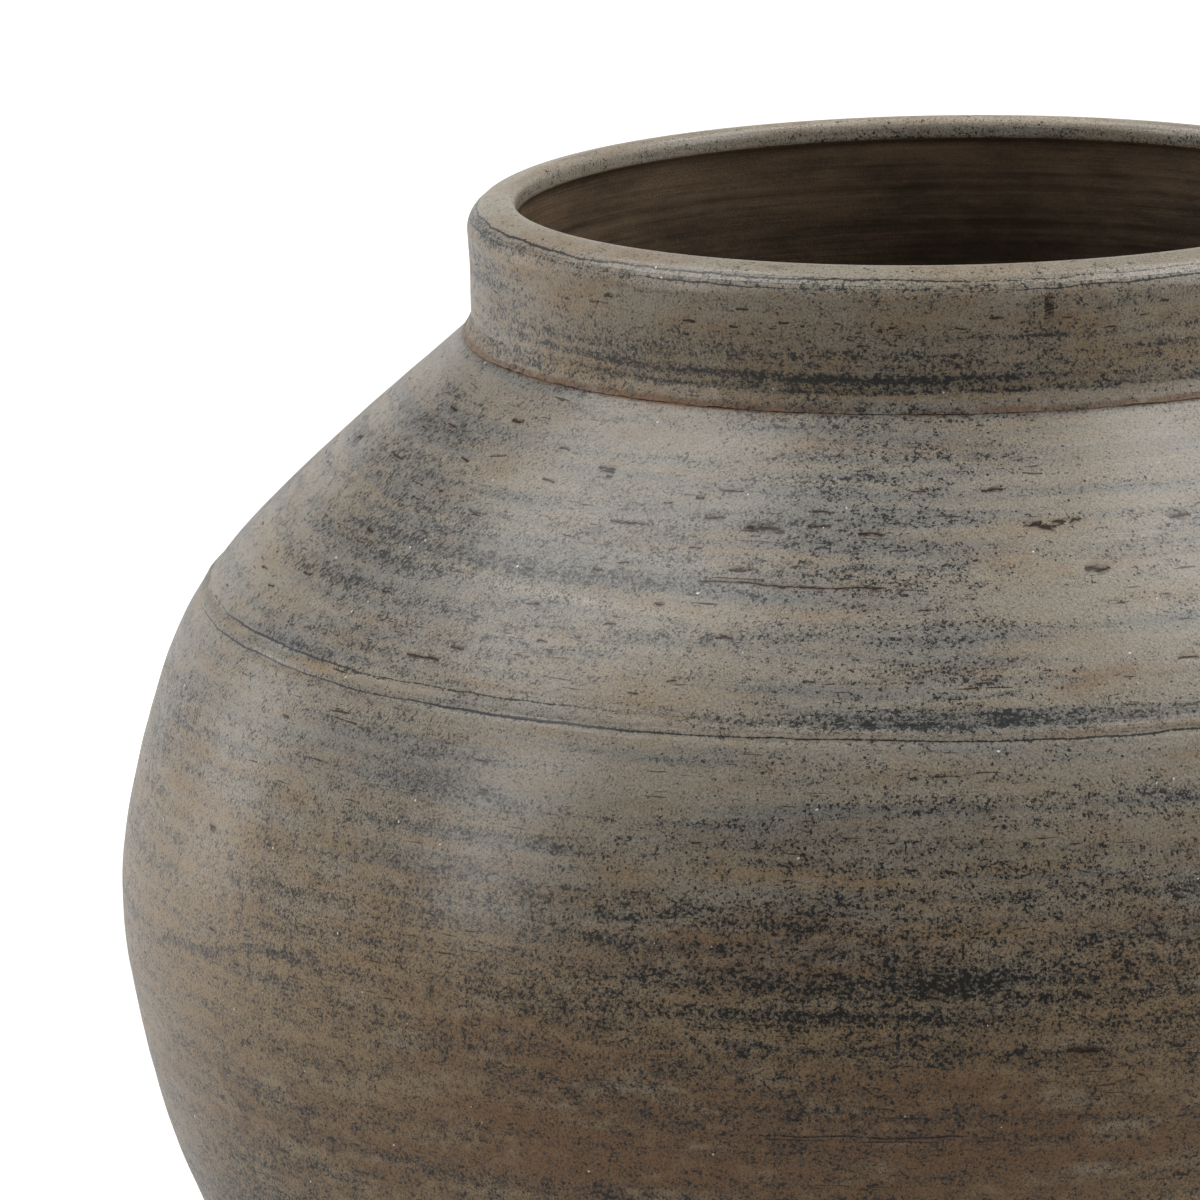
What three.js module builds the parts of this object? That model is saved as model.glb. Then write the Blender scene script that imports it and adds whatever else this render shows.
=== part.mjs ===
// A wheel-thrown earthenware vase with a wide shoulder, a short upright neck and a rolled lip.
// It is built as a potter builds a pot too wide for one throwing: a base slab, a thrown lower wall,
// a thrown shoulder and a neck collar, stepped together and luted with slip, then banded and filleted.
// Millimetres, +Z up. The origin is the centre of the foot, on the surface that the vase stands on.
import * as THREE from 'three';

// Base slab and foot
const FOOT_RADIUS = 98;
const FOOT_FLARE = 0.8;
const FOOT_BEVEL = 2;
const FOOT_RING_WIDTH = 18;
const FOOT_RECESS = 1.5;
const BASE_THICKNESS = 12;
const BASE_LEDGE_DROP = 4;
const CORNER_COIL_SIZE = 11;
const CORNER_COIL_HOLLOW = 0.5;

// Outline of the body above the foot: the rise from the station below, the radius, and the flare,
// which is the radius gained per millimetre of height
const LOW_WALL_RISE = 89;
const LOW_WALL_RADIUS = 155.4;
const LOW_WALL_FLARE = 0.417;
const LOWER_BELLY_RISE = 31;
const LOWER_BELLY_RADIUS = 164.5;
const LOWER_BELLY_FLARE = 0.196;
const BELLY_RISE = 26;
const BELLY_RADIUS = 167.6;
const UPPER_BELLY_RISE = 35;
const UPPER_BELLY_RADIUS = 161.1;
const UPPER_BELLY_FLARE = -0.294;
const RIDGE_RISE = 26.3;
const RIDGE_RADIUS = 149.4;
const RIDGE_FLARE = -0.74;
const SHOULDER_RISE = 27.4;
const SHOULDER_RADIUS = 122.9;
const SHOULDER_FLARE = -1.108;
const NECK_ROOT_RISE = 23;
const NECK_ROOT_FLARE = -1.174;
const WALL = 9;

// Neck and lip
const NECK_HEIGHT = 27.3;
const NECK_RADIUS = 94.6;
const NECK_WALL = 8.4;
const RIM_SPREAD = 0.4;
const LIP_THICKNESS = 10;
const LIP_INNER_ROUND = 2.2;
const LIP_DROP = 6.2;
const LIP_BEAD_HEIGHT = 4.5;
const NECK_FILLET_WIDTH = 1.7;
const NECK_FILLET_HEIGHT = 5;

// Joints between the sections
const SLIP_THICKNESS = 0.8;
const SHOULDER_LAP = 4;
const SHOULDER_TONGUE_ROOT = 3.3;
const NECK_TONGUE_DROP = 4;
const NECK_TONGUE_WIDTH = 4;
const SEAM_BAND_HEIGHT = 2.4;
const SEAM_BAND_THICKNESS = 0.8;
const SEAM_BAND_OVERHANG = 0.4;
const CLEARANCE = 0.3;

// Fineness of the solids
const SECTORS = 60;
const ROW_HEIGHT = 14;
const ARC_STEPS = 5;

// Stations of the outline, from the table up
function stationAbove(below, rise, radius, flare) {
  return { z: below.z + rise, r: radius, flare };
}

const foot = { z: 0, r: FOOT_RADIUS, flare: FOOT_FLARE };
const lowWall = stationAbove(foot, LOW_WALL_RISE, LOW_WALL_RADIUS, LOW_WALL_FLARE);
const lowerBelly = stationAbove(lowWall, LOWER_BELLY_RISE, LOWER_BELLY_RADIUS, LOWER_BELLY_FLARE);
const belly = stationAbove(lowerBelly, BELLY_RISE, BELLY_RADIUS, 0);
const upperBelly = stationAbove(belly, UPPER_BELLY_RISE, UPPER_BELLY_RADIUS, UPPER_BELLY_FLARE);
const ridge = stationAbove(upperBelly, RIDGE_RISE, RIDGE_RADIUS, RIDGE_FLARE);
const shoulder = stationAbove(ridge, SHOULDER_RISE, SHOULDER_RADIUS, SHOULDER_FLARE);
const neckRootRadius = NECK_RADIUS + NECK_FILLET_WIDTH;
const neckRoot = stationAbove(shoulder, NECK_ROOT_RISE, neckRootRadius, NECK_ROOT_FLARE);
const outline = [foot, lowWall, lowerBelly, belly, upperBelly, ridge, shoulder, neckRoot];
const rimTop = neckRoot.z + NECK_HEIGHT;

// The two stations that a height lies between, and how far along it is from the lower one
function span(z) {
  const above = outline.findIndex((point, index) => index > 0 && z <= point.z);
  const high = outline[above < 0 ? outline.length - 1 : above];
  const low = outline[outline.indexOf(high) - 1];
  const rise = high.z - low.z;
  return { low, high, rise, t: (z - low.z) / rise };
}

// Outer radius of the body at a height: cubic curves that keep each station's radius and flare
function outerRadius(z) {
  const { low, high, rise, t } = span(z);
  const ease = t * t * (3 - 2 * t);
  const leave = t * (1 - t) * (1 - t) * rise * low.flare;
  const arrive = t * t * (t - 1) * rise * high.flare;
  return low.r + (high.r - low.r) * ease + leave + arrive;
}

// Slope of those curves
function flareAt(z) {
  const { low, high, rise, t } = span(z);
  const ease = (6 * t * (1 - t) * (high.r - low.r)) / rise;
  const leave = (1 - t) * (1 - 3 * t) * low.flare;
  const arrive = t * (3 * t - 2) * high.flare;
  return ease + leave + arrive;
}

// Inner radius: the wall keeps its thickness square to the slope
function innerRadius(z) {
  return outerRadius(z) - WALL * Math.hypot(1, flareAt(z));
}

// Heights from one level to another in even rows, both ends included
function rows(from, to) {
  const count = Math.max(2, Math.round(Math.abs(to - from) / ROW_HEIGHT));
  return Array.from({ length: count + 1 }, (_, i) => from + ((to - from) * i) / count);
}

// A quarter of an ellipse about a centre, from one angle to another, as [radius, height] pairs
function ellipseArc(centreRadius, centreHeight, reach, height, fromAngle, toAngle) {
  return Array.from({ length: ARC_STEPS + 1 }, (_, i) => {
    const angle = fromAngle + ((toAngle - fromAngle) * i) / ARC_STEPS;
    return [centreRadius + reach * Math.cos(angle), centreHeight + height * Math.sin(angle)];
  });
}

// Turns a counter-clockwise outline of [radius, height] pairs about the vase's axis
const vase = new THREE.Group();
function turned(name, section, closesOnAxis, material) {
  const loop = closesOnAxis ? section : [...section, section[0]];
  const points = loop.map(([radius, height]) => new THREE.Vector2(radius, height));
  const geometry = new THREE.LatheGeometry(points, SECTORS);
  geometry.rotateX(Math.PI / 2);
  const mesh = new THREE.Mesh(geometry, material);
  mesh.name = name;
  vase.add(mesh);
}

// Fired clay with a worn dark wash, the browner clay of the smeared bands, and the slip in the joints
const clay = new THREE.MeshStandardMaterial({ color: 0x857767, roughness: 0.6, metalness: 0 });
const bandClay = new THREE.MeshStandardMaterial({ color: 0x7d6a57, roughness: 0.65, metalness: 0 });
const slipClay = new THREE.MeshStandardMaterial({ color: 0x5c4534, roughness: 0.8, metalness: 0 });

// Base joint: the lower wall stands on a ledge round the slab, on a bed of slip
const ledgeTop = BASE_THICKNESS - BASE_LEDGE_DROP;
const lowerWallFoot = ledgeTop + SLIP_THICKNESS;
const upstandRadius = Math.min(innerRadius(ledgeTop), innerRadius(BASE_THICKNESS)) - CLEARANCE;
const bevelTop = FOOT_BEVEL;
const footEdge = outerRadius(bevelTop) - FOOT_BEVEL;
const recessRadius = footEdge - FOOT_RING_WIDTH;

turned('base_slab', [
  [0, FOOT_RECESS],
  [recessRadius - FOOT_RECESS, FOOT_RECESS],
  [recessRadius, 0],
  [footEdge, 0],
  [outerRadius(bevelTop), bevelTop],
  [outerRadius(ledgeTop), ledgeTop],
  [upstandRadius, ledgeTop],
  [upstandRadius, BASE_THICKNESS],
  [0, BASE_THICKNESS],
], true, clay);

turned('base_slip_ring', [
  [innerRadius(ledgeTop), ledgeTop],
  [outerRadius(ledgeTop) - CLEARANCE, ledgeTop],
  [outerRadius(lowerWallFoot) - CLEARANCE, lowerWallFoot],
  [innerRadius(ledgeTop), lowerWallFoot],
], false, slipClay);

// Shoulder joint: the lower wall ends in a seat with a tongue inside it, and the shoulder laps over it
const seatHeight = ridge.z;
const tongueTop = seatHeight + SHOULDER_LAP;
const tongueRadius = innerRadius(seatHeight) + SHOULDER_TONGUE_ROOT;
const shoulderFoot = seatHeight + SLIP_THICKNESS;
const skirtRadius = tongueRadius + CLEARANCE;
const lapCeiling = tongueTop + CLEARANCE;

turned('lower_wall', [
  ...rows(lowerWallFoot, seatHeight).map((z) => [outerRadius(z), z]),
  [tongueRadius, seatHeight],
  [tongueRadius, tongueTop],
  ...rows(tongueTop, lowerWallFoot).map((z) => [innerRadius(z), z]),
], false, clay);

turned('shoulder_slip_ring', [
  [skirtRadius, seatHeight],
  [outerRadius(seatHeight) - CLEARANCE, seatHeight],
  [outerRadius(shoulderFoot) - CLEARANCE, shoulderFoot],
  [skirtRadius, shoulderFoot],
], false, slipClay);

// Neck joint: the collar stands on the shoulder's flat top, with a tongue down inside its mouth
const neckSeat = neckRoot.z;
const collarFoot = neckSeat + SLIP_THICKNESS;
const neckBore = NECK_RADIUS - NECK_WALL;
const neckTongueRadius = neckBore + NECK_TONGUE_WIDTH;
const mouthRadius = neckTongueRadius + CLEARANCE;
const neckTongueFoot = neckSeat - NECK_TONGUE_DROP;
const mouthLedge = neckTongueFoot - CLEARANCE;

turned('shoulder_wall', [
  ...rows(shoulderFoot, neckSeat).map((z) => [outerRadius(z), z]),
  [mouthRadius, neckSeat],
  [mouthRadius, mouthLedge],
  ...rows(mouthLedge, lapCeiling).map((z) => [innerRadius(z), z]),
  [skirtRadius, lapCeiling],
  [skirtRadius, shoulderFoot],
], false, clay);

turned('neck_slip_ring', [
  [mouthRadius, neckSeat],
  [neckRootRadius - CLEARANCE, neckSeat],
  [neckRootRadius - CLEARANCE, collarFoot],
  [mouthRadius, collarFoot],
], false, slipClay);

// Neck collar with its rolled lip: a broad outer round up to the crest and a tight bead inside
const rimRadius = NECK_RADIUS + RIM_SPREAD;
const lipBore = rimRadius - LIP_THICKNESS;
const crestRadius = lipBore + LIP_INNER_ROUND;
const lipSpring = rimTop - LIP_DROP;
const beadFoot = rimTop - LIP_INNER_ROUND - LIP_BEAD_HEIGHT;

turned('neck_collar', [
  [NECK_RADIUS, collarFoot],
  ...ellipseArc(crestRadius, lipSpring, rimRadius - crestRadius, LIP_DROP, 0, Math.PI / 2),
  ...ellipseArc(crestRadius, rimTop - LIP_INNER_ROUND, LIP_INNER_ROUND, LIP_INNER_ROUND,
    Math.PI / 2, Math.PI).slice(1),
  [lipBore, beadFoot + LIP_BEAD_HEIGHT / 2],
  [neckBore, beadFoot],
  [neckBore, neckTongueFoot],
  [neckTongueRadius, neckTongueFoot],
  [neckTongueRadius, collarFoot],
], false, clay);

// Smeared fillet in the corner between the neck and the shoulder, with a hollow face
const filletBack = NECK_RADIUS + CLEARANCE;
turned('neck_fillet', [
  [filletBack, collarFoot],
  ...ellipseArc(neckRootRadius, collarFoot + NECK_FILLET_HEIGHT,
    neckRootRadius - filletBack, NECK_FILLET_HEIGHT, 1.5 * Math.PI, Math.PI),
], false, bandClay);

// Band of clay smeared over the shoulder joint, a little proud of the wall, with a round face
const bandFoot = seatHeight - SEAM_BAND_OVERHANG;
const bandTop = bandFoot + SEAM_BAND_HEIGHT;
const bandMiddle = bandFoot + SEAM_BAND_HEIGHT / 2;
turned('shoulder_seam_band', [
  [outerRadius(bandFoot) + CLEARANCE, bandFoot],
  [outerRadius(bandMiddle) + CLEARANCE + SEAM_BAND_THICKNESS, bandMiddle],
  [outerRadius(bandTop) + CLEARANCE + SEAM_BAND_THICKNESS / 2, bandTop],
  [outerRadius(bandTop) + CLEARANCE, bandTop],
], false, bandClay);

// Coil pressed into the inside corner between the base slab and the lower wall, with a hollow face
const coilTop = BASE_THICKNESS + CORNER_COIL_SIZE;
const coilCorner = new THREE.Vector2(innerRadius(BASE_THICKNESS) - CLEARANCE, BASE_THICKNESS);
const coilHead = new THREE.Vector2(innerRadius(coilTop) - CLEARANCE, coilTop);
const coilToe = new THREE.Vector2(coilCorner.x - CORNER_COIL_SIZE, BASE_THICKNESS);
const coilPull = coilHead.clone().lerp(coilToe, 1 / 2).lerp(coilCorner, CORNER_COIL_HOLLOW);
const coilFace = new THREE.QuadraticBezierCurve(coilHead, coilPull, coilToe).getPoints(ARC_STEPS);
turned('base_corner_coil', [
  ...rows(BASE_THICKNESS, coilTop).map((z) => [innerRadius(z) - CLEARANCE, z]),
  ...coilFace.slice(1).map((point) => point.toArray()),
], false, bandClay);

export default vase;
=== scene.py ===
import math

import bpy
import numpy as np
from mathutils import Matrix, Vector


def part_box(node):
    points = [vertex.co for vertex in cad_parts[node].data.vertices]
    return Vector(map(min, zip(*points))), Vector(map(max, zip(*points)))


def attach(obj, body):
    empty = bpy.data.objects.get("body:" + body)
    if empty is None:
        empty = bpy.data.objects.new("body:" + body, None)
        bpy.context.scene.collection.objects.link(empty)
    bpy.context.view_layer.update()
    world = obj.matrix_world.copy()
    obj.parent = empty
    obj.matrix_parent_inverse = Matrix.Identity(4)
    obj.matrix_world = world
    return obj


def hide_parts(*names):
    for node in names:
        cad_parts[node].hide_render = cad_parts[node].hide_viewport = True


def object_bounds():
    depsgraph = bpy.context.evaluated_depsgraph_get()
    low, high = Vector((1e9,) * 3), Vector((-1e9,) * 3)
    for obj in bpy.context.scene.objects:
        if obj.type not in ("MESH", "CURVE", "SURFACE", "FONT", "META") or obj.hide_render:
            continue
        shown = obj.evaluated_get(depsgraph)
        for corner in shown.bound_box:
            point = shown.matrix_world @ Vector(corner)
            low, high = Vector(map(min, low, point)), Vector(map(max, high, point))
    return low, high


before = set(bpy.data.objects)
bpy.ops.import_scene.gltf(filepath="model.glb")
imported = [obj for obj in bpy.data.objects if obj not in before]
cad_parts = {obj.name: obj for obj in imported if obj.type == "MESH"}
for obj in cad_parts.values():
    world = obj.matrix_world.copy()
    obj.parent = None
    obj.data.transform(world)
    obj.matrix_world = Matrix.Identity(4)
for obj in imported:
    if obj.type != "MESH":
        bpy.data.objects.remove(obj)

# Sizes below are in millimetres, in the CAD model's frame. A bearing is an angle round the vase's axis:
# 0 faces the camera (-Y) and positive turns towards +X.
CAD_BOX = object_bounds()
MM = 0.001
TAU = 2 * math.pi

# Outline of the body: height, radius, and flare, the radius gained per millimetre of height
FOOT = (0.0, 98.0, 0.8)
LOW_WALL = (89.0, 155.4, 0.417)
LOWER_BELLY = (120.0, 164.5, 0.196)
BELLY = (146.0, 167.6, 0.0)
UPPER_BELLY = (181.0, 161.1, -0.294)
RIDGE = (207.3, 149.4, -0.74)
SHOULDER = (234.7, 122.9, -1.108)
NECK_ROOT = (257.7, 96.3, -1.174)
OUTLINE = np.array([FOOT, LOW_WALL, LOWER_BELLY, BELLY, UPPER_BELLY, RIDGE, SHOULDER, NECK_ROOT])
WALL = 9.0


def node_span(node):
    low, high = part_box(node)
    return low.z / MM, high.z / MM


# Heights of the joints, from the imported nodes
RIM_TOP = CAD_BOX[1][2] / MM
BASE_TOP = node_span("base_slab")[1]
LEDGE_TOP, LOWER_FOOT = node_span("base_slip_ring")
TONGUE_TOP = node_span("lower_wall")[1]
SEAT, SHOULDER_FOOT = node_span("shoulder_slip_ring")
NECK_SEAT, COLLAR_FOOT = node_span("neck_slip_ring")
FILLET_TOP = node_span("neck_fillet")[1]
NECK_TONGUE_FOOT = node_span("neck_collar")[0]
BAND_FOOT, BAND_TOP = node_span("shoulder_seam_band")
COIL_TOP = node_span("base_corner_coil")[1]

# Joints: tongues, laps and the slip's clearance
CLEARANCE = 0.3
SHOULDER_TONGUE_ROOT = 3.3
MOUTH_RADIUS = 90.5
MOUTH_LEDGE = NECK_TONGUE_FOOT - CLEARANCE
LAP_CEILING = TONGUE_TOP + CLEARANCE

# Base: foot ring, its recess, and the coil in the inside corner
FOOT_BEVEL = 2.0
FOOT_RING_WIDTH = 18.0
FOOT_RECESS = 1.5
COIL_HOLLOW = 0.5

# Marks of the fingers: pitch of the ridges inside, pitch and depth of the spiral on the base, and presses
# round half of the coil
FINGER_PITCH = 7.5
SPIRAL_PITCH = 9
SPIRAL_DEPTH = 0.35
COIL_PRESSES = 21

# Neck and lip
NECK_RADIUS = 94.6
RIM_RADIUS = 95.0
NECK_BORE = 86.2
NECK_TONGUE_RADIUS = 90.2
LIP_BORE = 85.0
LIP_INNER_ROUND = 2.2
LIP_DROP = 6.2
LIP_BEAD_FOOT = 280.8
LIP_BEAD_SLOPE = 1.2
FILLET_WIDTH = 1.7

# Heights of the scored lines beside the shoulder seam and under the lip, and of a groove in the bore
SCORED_BELOW_SEAM = 206.1
SCORED_ABOVE_SEAM = 210.2
SCORED_UNDER_LIP = 282.9
BORE_GROOVE = 269.6

# Fineness of the meshes: columns round the axis, steps between rows, and points on rounds
LOWER_COLUMNS = 600
SHOULDER_COLUMNS = 800
NECK_COLUMNS = 720
BAND_COLUMNS = 1500
BASE_COLUMNS = 360
SHOWN_FROM = 86.0
NEAR_SEAM_FROM = 203.0
NEAR_SEAM_TO = 212.0
GUESSED_STEP = 3.0
BODY_STEP = 1.25
BELOW_SEAM_STEP = 0.36
ABOVE_SEAM_STEP = 0.3
SHOULDER_STEP = 0.6
NECK_STEP = 0.5
LIP_STEP = 0.6
BEAD_STEP = 0.4
BORE_STEP = 0.7
BASE_STEP = 0.8
INNER_BODY_STEP = 6.0
INNER_SHOULDER_STEP = 3.0
FLOOR_STEP = 1.4
UNDERSIDE_STEP = 3.0
AXIS_CAP = 1.0
LIP_POINTS = 22
INNER_LIP_POINTS = 8
BEVEL_POINTS = 7


# Random fields and the outline

def smooth(t):
    return t * t * (3 - 2 * t)


def ring_noise(bearing, height, cells_around, cell_height, seed):
    """Smooth random values from -1 to 1 over the vase's side, seamless round it."""
    layers = int(RIM_TOP / cell_height) + 4
    grid = np.random.default_rng(seed).uniform(-1, 1, (cells_around, layers))
    across = (bearing / TAU % 1.0) * cells_around
    up = np.clip(height / cell_height + 1, 0, layers - 2)
    i = np.floor(across).astype(int)
    j = np.floor(up).astype(int)
    s = smooth(across - i)
    t = smooth(up - j)
    left = i % cells_around
    right = (i + 1) % cells_around
    low = grid[left, j] * (1 - s) + grid[right, j] * s
    high = grid[left, j + 1] * (1 - s) + grid[right, j + 1] * s
    return low * (1 - t) + high * t


WAVE_HEIGHT = 50


def wave(bearing, cells_around, seed):
    """Smooth random values from -1 to 1 that change only round the vase."""
    return ring_noise(bearing, bearing * 0, cells_around, WAVE_HEIGHT, seed)


def outline_at(height):
    """Outer radius and flare of the body at each height, on cubic curves between the stations."""
    z = np.asarray(height, float)
    k = np.clip(np.searchsorted(OUTLINE[:, 0], z) - 1, 0, len(OUTLINE) - 2)
    low, high = OUTLINE[k], OUTLINE[k + 1]
    rise = high[..., 0] - low[..., 0]
    gain = high[..., 1] - low[..., 1]
    t = (z - low[..., 0]) / rise
    leave = t * (1 - t) ** 2 * rise * low[..., 2]
    arrive = t * t * (t - 1) * rise * high[..., 2]
    radius = low[..., 1] + gain * smooth(t) + leave + arrive
    ease = 6 * t * (1 - t) * gain / rise
    flare = ease + (1 - t) * (1 - 3 * t) * low[..., 2] + t * (3 * t - 2) * high[..., 2]
    return radius, flare


def outer_radius(height):
    return outline_at(height)[0]


def inner_radius(height):
    radius, flare = outline_at(height)
    return radius - WALL * np.hypot(1, flare)


# Faces of the shoulder joint: the tongue's outside and the skirt that laps over it
TONGUE_FACE = float(inner_radius(SEAT)) + SHOULDER_TONGUE_ROOT
SKIRT_FACE = TONGUE_FACE + CLEARANCE


def rows(start, end, step):
    """Heights from start to end in even steps of about the given size, both ends included."""
    return np.linspace(start, end, max(2, int(abs(end - start) / step) + 1))


def along(curve, heights):
    """Section points on a curve that gives a radius for each height."""
    return [(float(curve(z)), float(z)) for z in heights]


def ellipse(centre, reach, start, end, steps):
    """Section points on an ellipse about a centre, from one angle to another."""
    angles = np.linspace(start, end, steps)
    return [(centre[0] + reach[0] * math.cos(a), centre[1] + reach[1] * math.sin(a)) for a in angles]


# Marks in the clay, placed by bearing in degrees and height

# Chaff cracks, scratches and gouges that show in front: bearing, height, length, width, depth
PLACED_MARKS = (
    (-17.0, 239.1, 7.6, 1.1, 0.50),
    (-22.3, 240.5, 4.2, 0.8, 0.35),
    (-11.9, 240.2, 4.4, 0.6, 0.25),
    (-7.0, 238.9, 4.6, 0.8, 0.25),
    (-30.9, 238.8, 8.0, 0.6, 0.25),
    (-36.5, 246.5, 4.0, 0.9, 0.30),
    (-21.6, 244.8, 5.0, 0.5, 0.20),
    (-13.5, 230.6, 36.0, 0.5, 0.20),
    (-18.0, 232.6, 6.0, 0.5, 0.20),
    (8.6, 239.7, 6.0, 1.2, 0.45),
    (11.2, 240.4, 5.0, 0.7, 0.25),
    (22.0, 240.0, 4.4, 1.0, 0.35),
    (13.0, 232.6, 4.4, 1.0, 0.35),
    (4.5, 245.6, 4.0, 0.7, 0.25),
    (-44.0, 213.4, 9.0, 0.6, 0.20),
    (-61.9, 174.0, 1.8, 1.8, 0.60),
    (8.3, 150.3, 6.4, 1.6, 0.55),
    (-5.0, 134.4, 46.0, 0.5, 0.20),
    (-82.0, 239.0, 4.0, 1.8, 0.60),
    (12.1, 277.6, 1.7, 4.6, 0.20),
)
SCATTER_SEED = 40
# Pits scattered at random: how many, then the ranges of height, length, width and depth
SHOULDER_SCATTER = (130, (212, 252), (1.2, 4.4), (0.35, 0.7), (0.10, 0.28))
BODY_SCATTER = (150, (14, 204), (0.8, 2.4), (0.5, 1.0), (0.12, 0.34))
# Pits in a loose row round the neck: how many, the row's height and spread, ranges of length and width,
# and depth
NECK_SCATTER = (130, (273.6, 1.6), (0.6, 2.6), (0.3, 0.6), 0.1)


def scattered_marks():
    """Small chaff pits over the rest of the vase, level like grit dragged round on the wheel."""
    draw = np.random.default_rng(SCATTER_SEED)
    marks = []
    for count, heights, lengths, widths, depths in (SHOULDER_SCATTER, BODY_SCATTER):
        for _ in range(count):
            marks.append((draw.uniform(-180, 180), draw.uniform(*heights), draw.uniform(*lengths),
                          draw.uniform(*widths), draw.uniform(*depths)))
    count, row, lengths, widths, depth = NECK_SCATTER
    for _ in range(count):
        marks.append((draw.uniform(-180, 180), draw.normal(*row), draw.uniform(*lengths),
                      draw.uniform(*widths), depth))
    return marks


MARKS = list(PLACED_MARKS) + scattered_marks()


def line(height, level, half_height):
    """1 at a level and fading to 0 away from it."""
    return np.exp(-((height - level) / half_height) ** 2)


def turn_between(bearing, degrees):
    """Signed angle in degrees from a placed bearing."""
    return (np.degrees(bearing) - degrees + 180) % 360 - 180


FAR_OFF = 6.0


def marked(bearing, radius, height):
    """At each point: the depth of the marks in the clay, how near the middle of a mark the point lies
    (1 in the mark, 0 past its ends and well above or below it), and its signed distance above the mark
    in half widths."""
    depth = np.zeros(radius.shape)
    along_mark = np.zeros(radius.shape)
    above_mark = np.full(radius.shape, FAR_OFF)
    waver = 0.25 * wave(bearing, 150, 76)
    for place, level, length, width, deep in MARKS:
        near = np.abs(height[:, 0] - level) < 2 + 2 * width
        if not near.any():
            continue
        across = np.radians(turn_between(bearing[near], place)) * radius[near] / (0.5 * length)
        up = np.clip((height[near] - level - waver[near]) / (0.5 * width), -FAR_OFF, FAR_OFF)
        within = np.clip(1.4 - across ** 2, 0, 1) * np.clip(3 - np.abs(up), 0, 1)
        depth[near] = np.maximum(depth[near], deep * np.exp(-across ** 4 - up ** 2))
        beside = np.abs(across) < 1.2 + 4 / length
        closer = beside & (np.abs(up) < np.abs(above_mark[near]))
        along_mark[near] = np.where(closer, within, along_mark[near])
        above_mark[near] = np.where(closer, up, above_mark[near])
    return depth, along_mark, above_mark


# How the worn dark wash lies, with a few patches standing in for light and shade: patches are (bearing,
# height, half width in degrees, half height, gain)
WASH_AND_LIGHT_PATCHES = (
    (-58, 230, 15, 15, 0.24),
    (-6, 241, 11, 9, 0.14),
    (-32, 253, 9, 6, -0.22),
    (20, 251, 10, 7, -0.28),
    (-68, 140, 14, 30, -0.22),
    # Painted shade: more wash to darken the left body under its highlight
    (-38, 188, 10, 15, 0.10),
    (-77, 188, 9, 16, 0.26),
    (-76, 272, 18, 11, 0.48),
    (12, 274, 3, 6, 0.40),
    (-11, 161, 14, 15, 0.18),
    (0, 226, 7, 12, 0.20),
    # Painted highlight: less wash where the right shoulder's highlight falls
    (9, 236, 7, 20, -0.30),
    (13, 222, 6, 7, -0.20),
    (-33, 236, 9, 12, 0.16),
    (10, 134, 22, 14, -0.28),
    (-44, 140, 24, 26, -0.14),
    (3, 218, 6, 5, 0.20),
    (-66, 244, 12, 10, 0.14),
    (2, 184, 20, 17, 0.14),
    (-40, 190, 9, 14, 0.06),
    (-20, 200, 12, 16, -0.16),
    (0, 120, 40, 14, -0.12),
    # Painted shade: more wash to darken the left body under its highlight
    (-36, 197, 12, 8, 0.18),
    (-44, 215, 18, 6, 0.12),
)
# Bands are (height, half height, middle bearing, half span in degrees, gain, rise in mm per degree)
WASH_BANDS = (
    (268.8, 0.8, 8, 50, 0.45, 0.0),
    (266.8, 0.7, -18, 80, 0.38, 0.0),
    (264.2, 1.0, -24, 42, 0.72, 0.0),
    (261.6, 0.7, -18, 52, 0.60, 0.0),
    (272.0, 0.5, 10, 30, 0.45, 0.0),
    (267.0, 0.7, 118, 46, 0.40, 0.0),
    (263.4, 1.0, 165, 75, 0.50, 0.0),
    (261.4, 0.6, 110, 40, 0.45, 0.0),
    (268.2, 0.8, 225, 40, 0.45, 0.0),
    (281.4, 0.9, 0, 180, 0.30, 0.0),
    (210.4, 1.3, 2, 26, 0.55, 0.0),
    (208.7, 0.9, 4, 24, 0.60, 0.0),
    (210.2, 0.7, -50, 30, 0.30, 0.0),
    (163.4, 1.7, -8, 14, 0.40, 0.0),
    (157.2, 1.3, -5, 12, 0.55, 0.0),
    (163.0, 1.3, 8, 9, 0.18, 0.0),
    (196.8, 1.7, 5, 14, 0.34, 0.0),
    (151.7, 0.9, -60, 13, 0.45, 0.43),
    (230.0, 1.6, -45, 20, 0.24, 0.0),
    (222.0, 1.4, -45, 22, 0.22, 0.0),
)
# Wiped pale streaks on the shoulder, given in the same way
PALE_BANDS = (
    (233.5, 1.1, -40, 18, 0.8, 0.0),
    (226.0, 1.3, -30, 20, 0.9, 0.0),
    (219.0, 1.0, -34, 18, 0.6, 0.0),
    (247.0, 1.5, -12, 16, 0.5, 0.0),
)
# Rusty patches, given as the wash's are
RUST_PATCHES = (
    (-12, 168, 12, 7, 0.8),
    (-26, 131, 10, 8, 0.8),
    (-38, 178, 6, 5, 0.4),
    (4, 136, 18, 16, 0.8),
    (-30, 150, 10, 10, 0.5),
    (-48, 120, 14, 14, 0.5),
    (18, 168, 8, 10, 0.5),
    (-70, 120, 14, 14, 0.35),
    (10, 216, 8, 4, 0.4),
    (-18, 121, 30, 28, 0.58),
)
# Where the wash is worn thin, given as the wash's patches are. The first two also lighten the specks
# where the left lamps' highlights fall, a painted sheen.
WEAR_AND_SHEEN_PATCHES = (
    (-36, 240, 16, 22, 0.6),
    (-44, 185, 18, 30, 0.4),
    (-4, 170, 20, 40, -0.5),
    (4, 235, 16, 20, -0.4),
)
# Wash on most of the vase, brown smear along the neck seam, the height of the pale line on the shoulder
# band, partly wear and partly a painted highlight on the band's edge, how much less wash the neck keeps,
# and where the lip's paler, less washed look begins and how fast
MEAN_WASH = 0.36
SEAM_SMEAR = 1.6
RIDGE_LIGHT = 207.2
NECK_WORN = 0.04
LIP_FROM = 282.6
LIP_FADE = 1.2
BACK_SEED = 60
BACK_PATCHES = 22
BACK_BANDS = 46


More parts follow.
